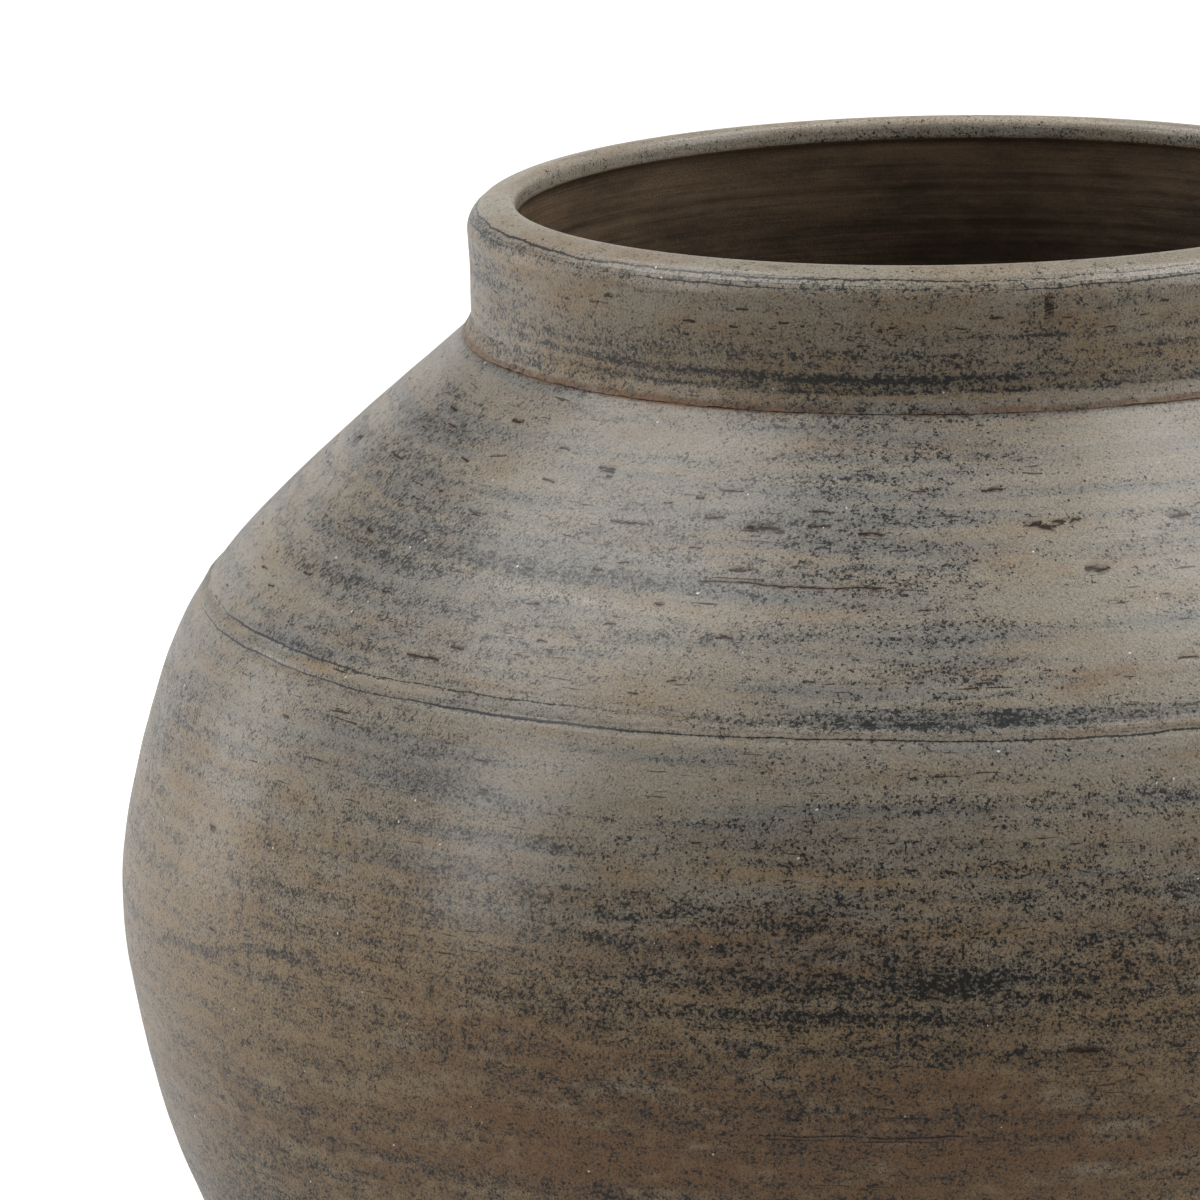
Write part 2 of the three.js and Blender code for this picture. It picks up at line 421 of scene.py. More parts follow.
def back_of_the_vase():
    """Patches and bands for the sides and back, drawn at random like those in front."""
    draw = np.random.default_rng(BACK_SEED)
    wash, rust, bands, pale = [], [], [], []
    for _ in range(BACK_PATCHES):
        wash.append((draw.uniform(95, 265), draw.uniform(30, 255), draw.uniform(8, 18),
                     draw.uniform(6, 18), draw.uniform(-0.24, 0.24)))
        rust.append((draw.uniform(60, 270), draw.uniform(30, 200), draw.uniform(6, 14),
                     draw.uniform(4, 14), draw.uniform(0.2, 0.8)))
    for _ in range(BACK_BANDS):
        bands.append((draw.uniform(30, 250), draw.uniform(0.7, 1.8), draw.uniform(65, 280),
                      draw.uniform(10, 30), draw.uniform(0.2, 0.5), draw.uniform(-0.05, 0.05)))
        pale.append((draw.uniform(212, 250), draw.uniform(0.8, 1.5), draw.uniform(40, 290),
                     draw.uniform(10, 24), draw.uniform(0.3, 0.9), 0.0))
    return wash, rust, bands, pale


BACK_WASH, BACK_RUST, BACK_WASH_BANDS, BACK_PALE = back_of_the_vase()


def patched(bearing, height, patches):
    """The patches' gains, summed at each point."""
    total = np.zeros(height.shape)
    for place, level, half_turn, half_height, gain in patches:
        near = np.abs(height[:, 0] - level) < 2.6 * half_height
        across = turn_between(bearing[near], place) / half_turn
        up = (height[near] - level) / half_height
        total[near] += gain * np.exp(-across ** 2 - up ** 2)
    return total


def banded(bearing, height, bands):
    """The bands' gains, summed at each point, on levels that waver."""
    total = np.zeros(height.shape)
    waver = 0.7 * wave(bearing, 40, 71) + 0.4 * wave(bearing, 110, 72)
    for level, half_height, place, half_turn, gain, rise in bands:
        near = np.abs(height[:, 0] - level) < 2.6 * half_height + 1 + 1.3 * abs(rise) * half_turn
        turn = turn_between(bearing[near], place)
        across = np.clip(turn / half_turn, -3, 3)
        up = (height[near] - level - rise * turn - 0.6 * waver[near]) / half_height
        total[near] += gain * np.exp(-across ** 4 - up ** 2)
    return total


# Thin dark lines all round: height, half height, strength, and its gain on the left
DARK_LINES = (
    (206.3, 0.32, 0.72, 0.48),
    (209.2, 0.38, 0.20, 0.80),
    (282.9, 0.33, 0.75, 0.0),
    (281.3, 0.30, 0.55, 0.0),
)
LEFT_BEARING = -52
LEFT_HALF_SPAN = 20
NO_LINE = -1.0
LINE_SEED = 175


def lined(bearing, height):
    """At each point: the strength of the nearest dark line, and the signed distance above it in half
    heights."""
    strength = np.full(height.shape, NO_LINE)
    gap = np.full(height.shape, FAR_OFF)
    waver = 0.2 * wave(bearing, 60, 73) + 0.12 * wave(bearing, 200, 74)
    left = np.exp(-(turn_between(bearing, LEFT_BEARING) / LEFT_HALF_SPAN) ** 4)
    for order, (level, half_height, strong, gain) in enumerate(DARK_LINES):
        worn = 0.85 + 0.45 * wave(bearing, 24, LINE_SEED + order)
        up = np.clip((height - level - waver) / half_height, -FAR_OFF, FAR_OFF)
        near = np.abs(up) < np.abs(gap)
        gap = np.where(near, up, gap)
        strength = np.where(near & (np.abs(up) < 3), (strong + gain * left) * worn, strength)
    return strength, gap


def finish_fields(bearing, radius, height):
    """What the outside material reads at each vertex: the wash, rust and pale streaks, from about 0 to 1,
    and where the marks and the dark lines lie. Some wash, wear and pale patches are painted light and
    shade."""
    patches = 0.6 * ring_noise(bearing, height, 12, 34, 21)
    patches = patches + 0.4 * ring_noise(bearing, height, 26, 15, 22)
    streaks = 0.5 * ring_noise(bearing, height, 9, 6, 23)
    streaks = streaks + 0.5 * ring_noise(bearing, height, 15, 2.6, 24)
    wash = MEAN_WASH + 0.16 * patches + 0.22 * streaks
    wash += patched(bearing, height, WASH_AND_LIGHT_PATCHES + tuple(BACK_WASH))
    band = banded(bearing, height, WASH_BANDS + tuple(BACK_WASH_BANDS))
    # Wear of the wash, and painted sheen where the first wear patches lighten the specks under the left
    # highlights
    worn = 0.3 + 0.3 * ring_noise(bearing, height, 11, 40, 26)
    worn = worn + patched(bearing, height, WEAR_AND_SHEEN_PATCHES)
    rust = patched(bearing, height, RUST_PATCHES + tuple(BACK_RUST))
    rust = rust + 0.2 * ring_noise(bearing, height, 18, 12, 25)
    rust = rust + SEAM_SMEAR * line(height, NECK_SEAT + 0.3, 0.8)
    pale = banded(bearing, height, PALE_BANDS + tuple(BACK_PALE))
    # Partly a painted highlight: a pale line along the shoulder band's edge, where the edge catches the
    # light
    pale = pale + 0.5 * line(height, RIDGE_LIGHT, 0.25)
    along_mark, above_mark = marked(bearing, radius, height)[1:]
    line_strength, above_line = lined(bearing, height)
    return {
        "wash": np.clip(wash + band, 0, 1.4),
        "band": np.clip(band, 0, 1),
        "worn": np.clip(worn, 0, 1),
        "rust": np.clip(rust, 0, 1),
        "pale": np.clip(pale, 0, 1),
        "along_mark": along_mark,
        "above_mark": above_mark,
        "line": line_strength,
        "above_line": above_line,
    }


# Meshes turned about the axis

OUTSIDE, INSIDE = 0, 1
SHARP_CORNER = math.radians(50)
SET_BACK = 0.2


def placed(name, data):
    """A new object in the scene."""
    thing = bpy.data.objects.new(name, data)
    bpy.context.scene.collection.objects.link(thing)
    return thing


def turned(name, section, columns, relief, inside_from=None, fields=None, on_axis=False):
    """A ring mesh from a counter-clockwise section of (radius, height) points in millimetres.
    relief(bearing, radius, height) gives what each vertex gains in radius and height, section points from
    inside_from on take the second material, fields gives what the material reads at each vertex, and
    on_axis caps a section that ends at the axis."""
    points = np.array(section)
    count = len(points)
    bearing = np.broadcast_to(np.linspace(0, TAU, columns, endpoint=False)[None, :], (count, columns))
    radius = np.repeat(points[:, :1], columns, axis=1)
    height = np.repeat(points[:, 1:], columns, axis=1)
    values = fields(bearing, radius, height) if fields else {}
    move_out, move_up = relief(bearing, radius, height)
    radius = radius + move_out
    height = height + move_up
    places = np.stack([radius * np.sin(bearing), -radius * np.cos(bearing), height], axis=-1) * MM
    last = count - 1 if on_axis else count
    row = np.repeat(np.arange(last), columns)
    col = np.tile(np.arange(columns), last)
    next_row = (row + 1) % count
    next_col = (col + 1) % columns
    quads = np.stack([row * columns + col, row * columns + next_col,
                      next_row * columns + next_col, next_row * columns + col], axis=1)
    faces = quads.tolist()
    slots = np.where(row >= (inside_from or count), INSIDE, OUTSIDE)
    if on_axis:
        faces.append(list(range(columns - 1, -1, -1)))
        faces.append(list(range((count - 1) * columns, count * columns)))
        slots = np.append(slots, [OUTSIDE, INSIDE])
    mesh = bpy.data.meshes.new(name)
    mesh.from_pydata(places.reshape(-1, 3).tolist(), [], faces)
    mesh.polygons.foreach_set("use_smooth", np.ones(len(faces), bool))
    mesh.polygons.foreach_set("material_index", slots.astype(np.int32))
    for label, value in values.items():
        layer = mesh.attributes.new(label, "FLOAT", "POINT")
        layer.data.foreach_set("value", value.astype(np.float32).ravel())
    mesh.update()
    mesh.set_sharp_from_angle(angle=SHARP_CORNER)
    return placed(name, mesh)


def dress(piece, node, slot, *materials):
    """Puts a piece in its CAD node's place, with its materials."""
    for material in materials:
        piece.data.materials.append(material)
    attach(piece, "root")
    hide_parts(node)


def throwing(bearing, height):
    """How the thrown outside departs from a true turned form: slow dents, throwing rings and fine lines,
    set back so that they stay within the true form or close to it."""
    dents = 0.20 * ring_noise(bearing, height, 9, 55, 11)
    rings = 0.09 * ring_noise(bearing, height, 5, 8, 12)
    rings = rings + 0.05 * ring_noise(bearing, height, 9, 3.2, 13)
    return dents + rings - SET_BACK


def inner_throwing(bearing, height):
    """Finger ridges left inside, winding up the wall."""
    winding = np.sin(TAU * height / FINGER_PITCH + bearing)
    return 0.25 * winding + 0.2 * ring_noise(bearing, height, 7, 6, 14) - 0.1


def lower_wall():
    """The thrown bowl from the base to the shoulder seam, with its tongue."""
    outside = np.concatenate([rows(LOWER_FOOT, SHOWN_FROM, GUESSED_STEP)[:-1],
                              rows(SHOWN_FROM, NEAR_SEAM_FROM, BODY_STEP)[:-1],
                              rows(NEAR_SEAM_FROM, SEAT, BELOW_SEAM_STEP)])
    inside = rows(TONGUE_TOP, LOWER_FOOT, INNER_BODY_STEP)
    section = along(outer_radius, outside)
    section += [(TONGUE_FACE, SEAT), (TONGUE_FACE, TONGUE_TOP)]
    section += along(inner_radius, inside)
    shown = np.arange(len(section))[:, None] < len(outside)
    inner = np.arange(len(section))[:, None] >= len(outside) + 2

    def relief(bearing, radius, height):
        scored = 0.22 * line(height, SCORED_BELOW_SEAM + 0.25 * wave(bearing, 60, 31), 0.45)
        outer = throwing(bearing, height) - marked(bearing, radius, height)[0] - scored
        foot_ease = np.clip((height - LOWER_FOOT) / 4, 0, 1)
        inward = inner_throwing(bearing, height) * foot_ease
        return np.where(shown, outer, 0) + np.where(inner, inward, 0), 0

    return turned("lower_wall_thrown", section, LOWER_COLUMNS, relief, len(outside), finish_fields)


def shoulder_wall():
    """The thrown shoulder, lapped over the tongue."""
    outside = np.concatenate([rows(SHOULDER_FOOT, NEAR_SEAM_TO, ABOVE_SEAM_STEP)[:-1],
                              rows(NEAR_SEAM_TO, NECK_SEAT, SHOULDER_STEP)])
    inside = rows(MOUTH_LEDGE - 4, LAP_CEILING + 3, INNER_SHOULDER_STEP)
    section = along(outer_radius, outside)
    section += [(MOUTH_RADIUS, NECK_SEAT), (MOUTH_RADIUS, MOUTH_LEDGE)]
    section += [(float(inner_radius(MOUTH_LEDGE)), MOUTH_LEDGE)]
    section += along(inner_radius, inside)
    section += [(float(inner_radius(LAP_CEILING)), LAP_CEILING)]
    section += [(SKIRT_FACE, LAP_CEILING), (SKIRT_FACE, SHOULDER_FOOT)]
    shown = np.arange(len(section))[:, None] < len(outside)

    def relief(bearing, radius, height):
        scored = 0.06 * line(height, SCORED_ABOVE_SEAM + 0.3 * wave(bearing, 60, 32), 0.6)
        outer = throwing(bearing, height) - marked(bearing, radius, height)[0] - scored
        ends = np.clip(np.minimum(height - SHOULDER_FOOT, NECK_SEAT - height) / 1.5, 0, 1)
        return np.where(shown, outer * ends - SET_BACK * (1 - ends), 0), 0

    return turned("shoulder_wall_thrown", section, SHOULDER_COLUMNS, relief, len(outside), finish_fields)


def neck_radius(height):
    """Outside of the neck: straight, spreading a little to the rim."""
    t = np.clip((height - COLLAR_FOOT) / (RIM_TOP - LIP_DROP - COLLAR_FOOT), 0, 1)
    return NECK_RADIUS + (RIM_RADIUS - NECK_RADIUS) * t ** 3


def neck_collar():
    """The neck with its rolled lip, stepped into the shoulder's mouth."""
    lip_spring = RIM_TOP - LIP_DROP
    crest = LIP_BORE + LIP_INNER_ROUND
    outside = rows(COLLAR_FOOT, lip_spring, NECK_STEP)
    bead_foot = rows(LIP_BEAD_FOOT, LIP_BEAD_FOOT - LIP_BEAD_SLOPE, BEAD_STEP)
    inside = rows(LIP_BEAD_FOOT - LIP_BEAD_SLOPE, COLLAR_FOOT, BORE_STEP)
    section = along(neck_radius, outside[:-1])
    section += ellipse((crest, lip_spring), (RIM_RADIUS - crest, LIP_DROP), 0, TAU / 4, LIP_POINTS)
    lip_end = len(section) - 1
    section += ellipse((crest, RIM_TOP - LIP_INNER_ROUND), (LIP_INNER_ROUND, LIP_INNER_ROUND),
                       TAU / 4, TAU / 2, INNER_LIP_POINTS)[1:]
    bead = rows(RIM_TOP - LIP_INNER_ROUND, LIP_BEAD_FOOT, LIP_STEP)
    section += [(LIP_BORE, float(z)) for z in bead[1:-1]]
    bead_end = len(section)
    step = (NECK_BORE - LIP_BORE) / (len(bead_foot) - 1)
    section += [(LIP_BORE + k * step, float(z)) for k, z in enumerate(bead_foot)]
    section += [(NECK_BORE, float(z)) for z in inside[1:]]
    section += [(NECK_BORE, NECK_TONGUE_FOOT), (NECK_TONGUE_RADIUS, NECK_TONGUE_FOOT)]
    section += [(NECK_TONGUE_RADIUS, COLLAR_FOOT)]
    order = np.arange(len(section))[:, None]
    shown = order <= lip_end
    inner = (order > bead_end + 1) & (order < len(section) - 3)

    def relief(bearing, radius, height):
        scored = 0.28 * line(height, SCORED_UNDER_LIP + 0.15 * wave(bearing, 40, 33), 0.35)
        groove = 0.3 * line(height, BORE_GROOVE + 0.2 * wave(bearing, 12, 34), 0.5)
        outer = 0.6 * throwing(bearing, height) - scored
        inward = 0.12 * ring_noise(bearing, height, 6, 2.2, 35)
        inward = inward + 0.1 * ring_noise(bearing, height, 5, 5, 36)
        foot_ease = np.clip((height - COLLAR_FOOT) / 2, 0, 1)
        crest_ease = np.clip((RIM_TOP - height) / 2, 0, 1)
        bored = (inward + groove) * foot_ease
        return np.where(shown, outer * crest_ease, 0) + np.where(inner, bored, 0), 0

    def fields(bearing, radius, height):
        values = finish_fields(bearing, radius, height)
        lip = np.clip((height - LIP_FROM) / LIP_FADE, 0, 1)
        at_back = 0.5 - 0.5 * np.cos(bearing)
        # Towards the back of the vase the lip keeps less wash and is paler than in front
        values["wash"] = (values["wash"] - NECK_WORN) * (1 - lip * (0.5 + 0.4 * at_back))
        values["pale"] = np.maximum(values["pale"], lip * (0.06 + 0.8 * at_back))
        values["line"] = np.where(radius > LIP_BORE + LIP_INNER_ROUND, values["line"], NO_LINE)
        return values

    return turned("neck_collar_thrown", section, NECK_COLUMNS, relief, bead_end, fields)


def jagged(bearing, coarse, fine, seed):
    """A ragged edge round the vase, in millimetres."""
    edge = coarse * wave(bearing, 70, seed) + fine * wave(bearing, 260, seed + 1)
    return edge + fine * wave(bearing, 620, seed + 2)


def seam_band():
    """The thin smeared band over the shoulder seam, its back sunk a little into both walls."""
    middle = 0.5 * (BAND_FOOT + BAND_TOP)
    levels = (BAND_FOOT, BAND_FOOT, BAND_FOOT + 0.5, middle, BAND_TOP - 0.6, BAND_TOP, BAND_TOP, middle)
    lifts = (-0.9, 0.0, 0.26, 0.18, 0.04, -0.15, -0.9, -1.0)
    section = [(float(outer_radius(z)) + lift, z) for z, lift in zip(levels, lifts)]
    lower = np.isin(np.arange(len(section)), (0, 1, 2))[:, None]
    upper = np.isin(np.arange(len(section)), (4, 5, 6))[:, None]
    front = np.isin(np.arange(len(section)), (1, 2, 3, 4))[:, None]

    def relief(bearing, radius, height):
        up = np.where(lower, jagged(bearing, 0.12, 0.10, 81), 0)
        up = up + np.where(upper, jagged(bearing, 0.3, 0.12, 85), 0)
        slope = outline_at(height)[1]
        press = 0.10 * wave(bearing, 90, 89) + 0.06 * wave(bearing, 300, 90)
        return np.where(front, press - 0.1, 0) + slope * up, up

    return turned("shoulder_seam_band_smeared", section, BAND_COLUMNS, relief, fields=finish_fields)


def neck_fillet():
    """The smeared fillet between neck and shoulder, its back sunk a little into the neck."""
    steps = 9
    foot = NECK_SEAT + 0.05
    sunk = 0.3
    back = NECK_RADIUS - 2 * sunk
    section = []
    for k in range(steps):
        t = k / (steps - 1)
        radius = NECK_RADIUS - sunk + (FILLET_WIDTH + sunk) * (1 - t) ** 2
        section.append((radius, foot + (FILLET_TOP - foot) * t))
    section.append((back, FILLET_TOP))
    section.append((back, foot))
    grip = np.array([0.7 + 0.3 * k / (steps - 1) for k in range(steps)] + [1, 0.7])[:, None]
    front = (np.arange(len(section)) < steps)[:, None]

    def relief(bearing, radius, height):
        up = grip * np.abs(jagged(bearing, 0.35, 0.14, 91))
        press = 0.10 * ring_noise(bearing, height, 80, 2.5, 95)
        press = press + 0.05 * ring_noise(bearing, height, 240, 1.5, 96)
        return np.where(front, press - 0.12, 0), up

    return turned("neck_fillet_smeared", section, BAND_COLUMNS, relief, fields=finish_fields)


# How far the slip stays short of the outside, or stands out under the fillet
SHOULDER_SLIP_SHORT = 0.3
NECK_SLIP_SHORT = 0.15
NECK_SLIP_PROUD = 0.2
SHOULDER_SLIP_SEED = 101
NECK_SLIP_SEED = 105
BASE_SLIP_SEED = 109


def slip_ring(name, low, high, inner, outer_at_low, outer_at_high, seed):
    """A bed of slip between two joint faces, squeezed out to an uneven edge."""
    middle = 0.5 * (low + high)
    outer = 0.5 * (outer_at_low + outer_at_high)
    section = [(inner, low), (outer_at_low, low), (outer, middle), (outer_at_high, high), (inner, high)]
    edge = np.isin(np.arange(len(section)), (1, 2, 3))[:, None]

    def relief(bearing, radius, height):
        return np.where(edge, 0.12 * jagged(bearing, 1, 1, seed) - 0.12, 0), 0

    return turned(name, section, BAND_COLUMNS, relief)


def base_slab():
    """The slab that closes the bottom: foot ring and shallow recess below, wheel spiral above."""
    recess_edge = FOOT[1] - FOOT_BEVEL - FOOT_RING_WIDTH
    wall_foot = float(inner_radius(LOWER_FOOT))
    section = [(r, FOOT_RECESS) for r in rows(AXIS_CAP, recess_edge - 2, UNDERSIDE_STEP)]
    section += [(recess_edge - 0.6, FOOT_RECESS * 0.7), (recess_edge, 0.25), (recess_edge + 0.8, 0.0)]
    section += [(r, 0.0) for r in rows(recess_edge + 3, FOOT[1] - FOOT_BEVEL - 0.8, UNDERSIDE_STEP)]
    under = len(section) - 1
    section += ellipse((FOOT[1] - FOOT_BEVEL, FOOT_BEVEL), (FOOT_BEVEL, FOOT_BEVEL),
                       -TAU / 4, 0, BEVEL_POINTS)
    section += along(outer_radius, rows(FOOT_BEVEL + BASE_STEP, LEDGE_TOP, BASE_STEP))
    side = len(section)
    section += [(wall_foot, LEDGE_TOP), (wall_foot, BASE_TOP)]
    section += [(r, BASE_TOP) for r in rows(wall_foot - 1, AXIS_CAP, FLOOR_STEP)]
    order = np.arange(len(section))[:, None]

    def relief(bearing, radius, height):
        spiral = SPIRAL_DEPTH * np.sin(TAU * radius / SPIRAL_PITCH - bearing)
        spiral = spiral * np.clip((wall_foot - 8 - radius) / 20, 0, 1)
        spiral = (spiral - SPIRAL_DEPTH) * np.clip((wall_foot - 2 - radius) / 4, 0, 1)
        up = np.where(order > side + 1, spiral, 0)
        hollow = 0.12 * ring_noise(bearing, radius, 30, 9, 51) - 0.12
        up = up - np.where((order < under) & (radius < recess_edge - 1), hollow, 0)
        out = np.where((order > under + BEVEL_POINTS) & (order < side), throwing(bearing, height), 0)
        return out, up

    return turned("base_slab_turned", section, BASE_COLUMNS, relief, side, finish_fields, on_axis=True)


def corner_coil():
    """The coil pressed into the inside corner of the base, with the finger marks that spread it."""
    steps = 9
    wall_top = (float(inner_radius(COIL_TOP)), COIL_TOP)
    corner = (float(inner_radius(BASE_TOP)), BASE_TOP)
    toe = (corner[0] - (COIL_TOP - BASE_TOP), BASE_TOP)
    bend = tuple((1 - COIL_HOLLOW) * 0.5 * (a + b) + COIL_HOLLOW * c
                 for a, b, c in zip(wall_top, toe, corner))
    section = []
    for k in range(steps):
        t = k / (steps - 1)
        section.append(tuple((1 - t) ** 2 * a + 2 * t * (1 - t) * b + t * t * c
                             for a, b, c in zip(wall_top, bend, toe)))
    section.append((corner[0] + 0.3, BASE_TOP - 0.3))
    belly = np.array([math.sin(math.pi * k / (steps - 1)) for k in range(steps)] + [0])[:, None]

    def relief(bearing, radius, height):
        press = 0.5 * np.abs(np.sin(COIL_PRESSES * bearing))
        press = press + 0.3 * ring_noise(bearing, height, 40, 6, 55)
        return belly * press * 0.7, -belly * press * 0.5

    return turned("base_corner_coil_pressed", section, BASE_COLUMNS, relief)


# Materials

# Colours are linear
CLAY = (0.264, 0.232, 0.183)
CLAY_WARM = (0.252, 0.176, 0.098)
CLAY_PALE = (0.370, 0.318, 0.245)
WASH_DARK = (0.016, 0.018, 0.019)
WASH_BROWN = (0.013, 0.012, 0.009)
WASH_FILM = (0.150, 0.158, 0.160)
WASH_WORN = (0.062, 0.063, 0.060)
RUST = (0.185, 0.100, 0.045)
GRIT = (0.045, 0.036, 0.027)
CHAFF = (0.030, 0.014, 0.007)
MICA = (0.72, 0.70, 0.66)
INNER_CLAY = (0.146, 0.095, 0.054)
# The dark inner colour below serves the throwing lines inside and also the painted shade deep in the neck
INNER_DARK_LINES_AND_SHADE = (0.030, 0.018, 0.009)
INNER_BODY = (0.250, 0.185, 0.125)
SLIP = (0.170, 0.105, 0.065)
SLIP_DARK = (0.085, 0.050, 0.030)

# How much the body and its satin coat shine
BODY_SPECULAR = 0.3
COAT_WEIGHT = 0.35
SMEARED_COAT_WEIGHT = 0.12
COAT_ROUGHNESS = 0.25

# Heights in metres between which looks change: the browner low wall, neck, lip, and two depths inside:
# the neck's bore, darkened downwards as painted shade, and the body's inside below the neck
LOW_WALL_FADE = (0.205, 0.145)
NECK_FADE = (0.257, 0.262)
ON_LIP_FADE = (0.2795, 0.2825)
NECK_BORE_SHADE_FADE = (0.279, 0.255)
BELOW_NECK_FADE = (0.252, 0.235)


class Nodes:
    """A node tree being made. Each method adds a node and gives its output."""

    def __init__(self, tree, place):
        self.tree = tree
        self.place = self.add("ShaderNodeTexCoord").outputs[place]

    def add(self, kind):
        return self.tree.nodes.new(kind)

    def feed(self, socket, value):
        if isinstance(value, bpy.types.NodeSocket):
            self.tree.links.new(value, socket)
        elif isinstance(value, tuple) and len(value) == 3 and socket.type == "RGBA":
            socket.default_value = (*value, 1.0)
        else:
            socket.default_value = value

    def attribute(self, name):
        node = self.add("ShaderNodeAttribute")
        node.attribute_name = name
        return node.outputs["Fac"]

    def sum(self, a, b):
        return self.math("ADD", a, b)

    def times(self, a, b):
        return self.math("MULTIPLY", a, b)

    def swing(self, noise, reach):
        """A noise set about 0 and scaled."""
        return self.times(self.sum(noise, -0.5), reach)

    def ramp(self, value, slope, start):
        return self.sum(self.times(value, slope), start)

    def math(self, operation, a, b):
        node = self.add("ShaderNodeMath")
        node.operation = operation
        self.feed(node.inputs[0], a)
        self.feed(node.inputs[1], b)
        return node.outputs[0]

    def shifted(self, scale, offset):
        """The place on the vase, scaled along each axis and moved, so that no noise repeats another."""
        node = self.add("ShaderNodeMapping")
        node.inputs["Scale"].default_value = scale
        node.inputs["Location"].default_value = (offset, offset * 0.7, offset * 1.3)
        self.feed(node.inputs["Vector"], self.place)
        return node.outputs[0]

    def noise(self, size, offset, flat=1.0, detail=3.0, rough=0.6):
        """Noise with cells of a size in millimetres, that many times flatter than wide."""
        node = self.add("ShaderNodeTexNoise")
        self.feed(node.inputs["Vector"], self.shifted((1, 1, flat), offset))
        node.inputs["Scale"].default_value = 1 / (size * MM)
        node.inputs["Detail"].default_value = detail
        node.inputs["Roughness"].default_value = rough
        return node.outputs["Fac"]

    def dots(self, size, wobble, share):
        """Separate ragged dots in cells of a size in millimetres, in that share of the cells."""
        node = self.add("ShaderNodeTexVoronoi")
        self.feed(node.inputs["Vector"], self.place)
        node.inputs["Scale"].default_value = 1 / (size * MM)
        draws = self.add("ShaderNodeSeparateColor")
        self.feed(draws.inputs[0], node.outputs["Color"])
        reach = self.ramp(draws.outputs[1], 0.20, 0.09)
        ragged = self.sum(node.outputs["Distance"], self.swing(wobble, 0.9))
        dot = self.step(ragged, self.sum(reach, 0.06), self.sum(reach, -0.06))
        return self.times(dot, self.math("LESS_THAN", draws.outputs[0], share))

    def step(self, value, low, high):
        """0 below low, 1 above high and smooth between."""
        node = self.add("ShaderNodeMapRange")
        node.interpolation_type = "SMOOTHSTEP"
        self.feed(node.inputs["Value"], value)
        self.feed(node.inputs["From Min"], low)
        self.feed(node.inputs["From Max"], high)
        return node.outputs["Result"]

    def blend(self, amount, first, second):
        node = self.add("ShaderNodeMix")
        node.data_type = "RGBA"
        self.feed(node.inputs[0], amount)
        self.feed(node.inputs[6], first)
        self.feed(node.inputs[7], second)
        return node.outputs[2]

    def shade(self, colour, amount):
        """A colour made lighter or darker all through."""
        node = self.add("ShaderNodeHueSaturation")
        self.feed(node.inputs["Color"], colour)
        self.feed(node.inputs["Value"], amount)
        return node.outputs[0]

    def axis(self, name):
        """The place along one axis, in metres."""
        node = self.add("ShaderNodeSeparateXYZ")
        self.feed(node.inputs[0], self.place)
        return node.outputs[name]

    def seen_white(self, behind):
        """1 where the camera looks, and in reflections as far as the white lies behind the vase."""
        path = self.add("ShaderNodeLightPath").outputs
        bounced = self.math("MAXIMUM", path["Is Glossy Ray"], path["Is Transmission Ray"])
        return self.math("MAXIMUM", path["Is Camera Ray"], self.times(bounced, behind))


class Surface(Nodes):
    """A node material being made."""

    def __init__(self, name):
        self.material = bpy.data.materials.new(name)
        self.material.use_nodes = True
        super().__init__(self.material.node_tree, "Object")
        self.shader = self.tree.nodes["Principled BSDF"]

    def give(self, name, value):
        self.feed(self.shader.inputs[name], value)

    def bump(self, height, depth):
        node = self.add("ShaderNodeBump")
        node.inputs["Strength"].default_value = 1.0
        node.inputs["Distance"].default_value = depth * MM
        self.feed(node.inputs["Height"], height)
        self.give("Normal", node.outputs[0])


WASH_FIELDS = ("wash", "band", "worn", "rust", "pale")
MARK_FIELDS = ("along_mark", "above_mark", "line", "above_line")


